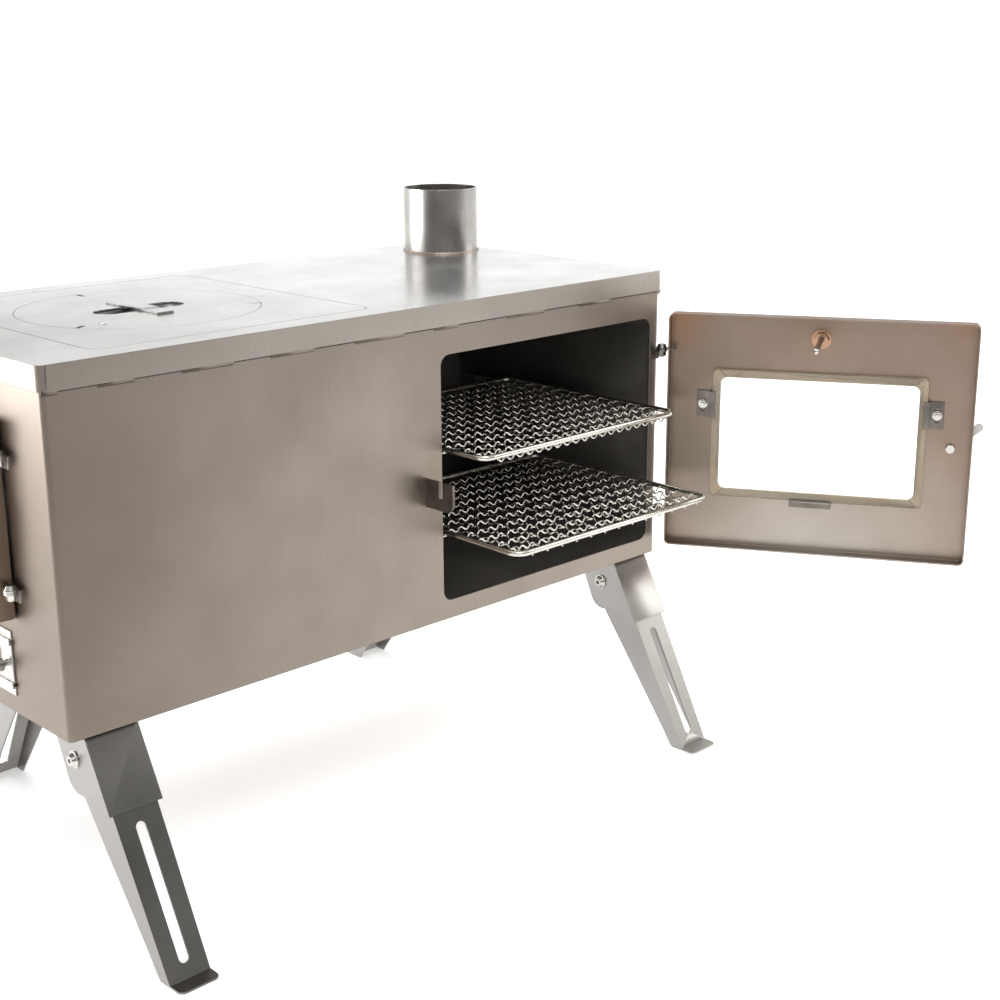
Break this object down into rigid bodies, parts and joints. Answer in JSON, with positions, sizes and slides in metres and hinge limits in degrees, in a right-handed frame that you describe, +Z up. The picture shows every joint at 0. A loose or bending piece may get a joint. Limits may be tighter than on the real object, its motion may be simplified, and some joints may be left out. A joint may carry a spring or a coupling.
{
  "type": "folding camp stove with oven",
  "caption": "Folding sheet steel camp stove: firebox with a drop-in hob plate, a side oven with a glazed door and sliding racks, a flue collar and folding channel legs.",
  "frame": {"origin": "on the ground, at the middle of the whole stove's bounding box with its oven door open", "axes": "+X towards the flue and oven end, -Y out of the oven's front, +Z up"},
  "size_m": [0.8046, 0.5643, 0.4778],
  "materials": {
    "brushed_body": "brushed stainless sheet with a warm cast",
    "polished_top": "near mirror stainless sheet",
    "bright_steel": "pressed stainless parts",
    "sooted_steel": "heat darkened steel inside the stove",
    "door_steel": "brushed stainless pan with heat tint",
    "gasket": "woven heat resistant tape",
    "glass": "clear heat resistant glass",
    "fastener_steel": "bright screws, nuts and bolts",
    "copper_tint": "heat tinted washer and nut",
    "dial_face": "white enamel",
    "needle": "black",
    "rack_wire": "bright stainless wire"
  },
  "bodies": {
    "stove_body": {"body_shell": "brushed_body", "top_plate": "polished_top", "hob_frame": "sooted_steel", "flue_collar": "bright_steel", "oven_liner": "sooted_steel", "rack_rails": "bright_steel", "fire_grate": "sooted_steel", "leg_bracket_front_left": "bright_steel", "leg_bracket_front_right": "bright_steel", "leg_bracket_rear_left": "bright_steel", "leg_bracket_rear_right": "bright_steel", "leg_bolts": "fastener_steel", "oven_hinge_lugs": "bright_steel", "oven_hinge_bolts": "fastener_steel", "oven_latch_catch": "bright_steel", "fuel_hinge_lugs": "bright_steel", "fuel_hinge_bolts": "fastener_steel", "fuel_latch_catch": "bright_steel", "air_slide_guides": "bright_steel"},
    "hob_plate": {"hob_plate": "polished_top", "hob_lid_ring": "sooted_steel"},
    "hob_lid": {"hob_lid": "polished_top", "hob_lid_strap": "polished_top"},
    "leg_front_left": {"leg_front_left": "bright_steel"},
    "leg_front_right": {"leg_front_right": "bright_steel"},
    "leg_rear_left": {"leg_rear_left": "bright_steel"},
    "leg_rear_right": {"leg_rear_right": "bright_steel"},
    "oven_door": {"oven_door_pan": "door_steel", "oven_door_tabs": "bright_steel", "oven_window_gasket": "gasket", "oven_window_glass": "glass", "oven_glass_clips": "bright_steel", "oven_clip_screws": "fastener_steel", "oven_latch_bolt": "fastener_steel", "thermometer_case": "bright_steel", "thermometer_dial": "dial_face", "thermometer_lens": "glass", "thermometer_stem": "fastener_steel", "thermometer_nut": "copper_tint"},
    "oven_latch": {"oven_latch_lever": "bright_steel", "oven_latch_knob": "bright_steel"},
    "thermometer_needle": {"thermometer_needle": "needle"},
    "upper_rack": {"upper_rack_frame": "rack_wire", "upper_rack_mesh": "rack_wire"},
    "lower_rack": {"lower_rack_frame": "rack_wire", "lower_rack_mesh": "rack_wire"},
    "fuel_door": {"fuel_door_pan": "door_steel", "fuel_door_tabs": "bright_steel", "fuel_window_gasket": "gasket", "fuel_window_glass": "glass", "fuel_glass_clips": "bright_steel", "fuel_clip_screws": "fastener_steel", "fuel_latch_bolt": "fastener_steel"},
    "fuel_latch": {"fuel_latch_lever": "bright_steel", "fuel_latch_knob": "bright_steel"},
    "air_slide": {"air_slide_plate": "bright_steel"}
  },
  "joints": [
    {"name": "oven_door_hinge", "type": "hinge", "parent": "stove_body", "child": "oven_door", "pos_m": [0.23932, -0.04851, 0.2757], "axis": [0, 0, 1], "range_deg": [-120.7, 44.3]},
    {"name": "upper_rack_slide", "type": "slide", "parent": "stove_body", "child": "upper_rack", "axis": [0, -1, 0], "range_m": [-0.0611, 0.02249]},
    {"name": "lower_rack_slide", "type": "slide", "parent": "stove_body", "child": "lower_rack", "axis": [0, -1, 0], "range_m": [-0.0991, 0.03644]},
    {"name": "oven_latch_turn", "type": "hinge", "parent": "oven_door", "child": "oven_latch", "pos_m": [0.37739, -0.2596, 0.2716], "axis": [-0.8599, -0.5105, 0], "range_deg": [-40, 0]},
    {"name": "thermometer_needle_turn", "type": "hinge", "parent": "oven_door", "child": "thermometer_needle", "pos_m": [0.31953, -0.16166, 0.3621], "axis": [0.8599, 0.5105, 0], "range_deg": [-120, 120]},
    {"name": "leg_front_left_fold", "type": "hinge", "parent": "stove_body", "child": "leg_front_left", "pos_m": [-0.32528, -0.02513, 0.1379], "axis": [-1, 0, 0], "range_deg": [-117.8, 0]},
    {"name": "leg_front_right_fold", "type": "hinge", "parent": "stove_body", "child": "leg_front_right", "pos_m": [0.20992, -0.02513, 0.1379], "axis": [-1, 0, 0], "range_deg": [-117.8, 0]},
    {"name": "leg_rear_left_fold", "type": "hinge", "parent": "stove_body", "child": "leg_rear_left", "pos_m": [-0.26328, 0.17201, 0.1379], "axis": [1, 0, 0], "range_deg": [-117.8, 0]},
    {"name": "leg_rear_right_fold", "type": "hinge", "parent": "stove_body", "child": "leg_rear_right", "pos_m": [0.14792, 0.17201, 0.1379], "axis": [1, 0, 0], "range_deg": [-117.8, 0]},
    {"name": "hob_plate_lift", "type": "slide", "parent": "stove_body", "child": "hob_plate", "axis": [0, 0, 1], "range_m": [0, 0.05]},
    {"name": "hob_lid_lift", "type": "slide", "parent": "hob_plate", "child": "hob_lid", "axis": [0, 0, 1], "range_m": [0, 0.06]},
    {"name": "fuel_door_hinge", "type": "hinge", "parent": "stove_body", "child": "fuel_door", "pos_m": [-0.36418, 0.01049, 0.3028], "axis": [0, 0, 1], "range_deg": [0, 120]},
    {"name": "fuel_latch_turn", "type": "hinge", "parent": "fuel_door", "child": "fuel_latch", "pos_m": [-0.37513, 0.18099, 0.3028], "axis": [1, 0, 0], "range_deg": [-40, 0]},
    {"name": "air_slide_move", "type": "slide", "parent": "stove_body", "child": "air_slide", "axis": [0, 1, 0], "range_m": [0, 0.012]}
  ],
  "couplings": [
    {"joint": "upper_rack_slide", "follows": "oven_door_hinge", "m_per_rad": 0.028956},
    {"joint": "lower_rack_slide", "follows": "oven_door_hinge", "m_per_rad": 0.046995}
  ]
}
